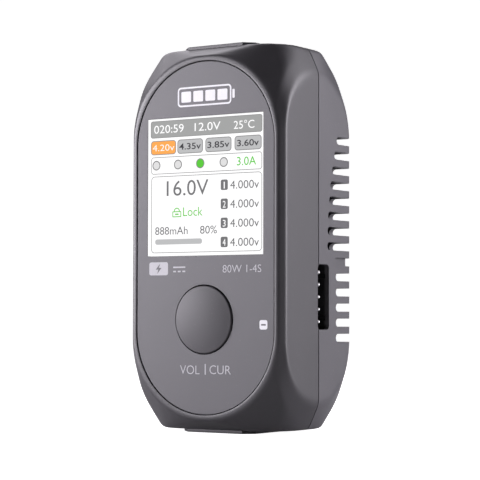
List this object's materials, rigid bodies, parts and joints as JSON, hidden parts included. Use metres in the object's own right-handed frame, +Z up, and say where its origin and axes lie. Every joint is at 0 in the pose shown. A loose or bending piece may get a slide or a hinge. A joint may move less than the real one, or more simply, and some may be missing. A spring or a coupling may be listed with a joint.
{
  "type": "balance battery charger",
  "caption": "Pocket balance charger with a square colour screen, one round button, side cooling slots, a balance port and a power plug at each end.",
  "frame": {"origin": "middle of the face that it stands on, under the lower end pad", "axes": "+Z up along the height, -Y out of the front panel, +X towards the balance port side"},
  "size_m": [0.0374, 0.0281, 0.0786],
  "materials": {
    "case_plastic": "satin moulded, fine grain",
    "panel_plastic": "satin",
    "tape": "matte",
    "window": "clear, polished",
    "lcd_glass": "polished",
    "backlight_white": "gloss",
    "flex_amber": "gloss",
    "nylon_white": "matte",
    "button_plastic": "satin",
    "board_green": "solder mask",
    "chip_black": "matte epoxy",
    "black_nylon": "satin",
    "steel": "zinc plated",
    "brass": "turned",
    "gold_plate": "plated",
    "copper": "enamelled",
    "aluminium": "extruded",
    "thermal_rubber": "soft pad",
    "ferrite": "matte ceramic",
    "can_sleeve": "gloss sleeve",
    "ceramic_tan": "glazed",
    "wire_red": "satin insulation",
    "connector_amber": "moulded nylon"
  },
  "bodies": {
    "case": {"front_shell": "case_plastic", "rear_shell": "case_plastic", "front_panel": "panel_plastic", "panel_tape": "tape", "display_window": "window", "display_glass": "lcd_glass", "display_backlight": "backlight_white", "display_cable": "flex_amber", "display_socket": "nylon_white", "switch_cover": "steel", "switch_housing": "black_nylon", "switch_dome": "steel", "front_board": "board_green", "microcontroller": "chip_black", "buzzer": "black_nylon", "board_link": "black_nylon", "board_spacers": "brass", "board_screws": "steel", "power_board": "board_green", "mosfets": "chip_black", "thermal_pad": "thermal_rubber", "heat_sink": "aluminium", "fan_screws": "steel", "fan_frame": "black_nylon", "fan_bearing": "brass", "fan_stator": "copper", "fan_lead": "wire_red", "fan_socket": "nylon_white", "inductor_drum": "ferrite", "inductor_winding": "copper", "inductor_shield": "ferrite", "capacitors": "can_sleeve", "ceramic_capacitors": "ceramic_tan", "current_shunts": "chip_black", "balance_resistors": "chip_black", "temperature_sensor": "ceramic_tan", "balance_header": "black_nylon", "balance_pins": "gold_plate", "input_connector": "connector_amber", "input_pins": "gold_plate", "output_connector": "connector_amber", "output_contacts": "gold_plate", "case_screws": "steel", "case_inserts": "brass"},
    "button": {"button_cap": "button_plastic", "switch_plunger": "black_nylon"},
    "fan_wheel": {"fan_rotor": "black_nylon", "fan_magnet": "ferrite", "fan_shaft": "steel"}
  },
  "joints": [
    {"name": "button_press", "type": "slide", "parent": "case", "child": "button", "axis": [0, 1, 0], "range_m": [0, 0.0004], "stiffness_N_per_m": 3000},
    {"name": "fan_spin", "type": "hinge", "parent": "case", "child": "fan_wheel", "pos_m": [0, 0.0085, 0.0478], "axis": [0, 1, 0], "continuous": true}
  ]
}
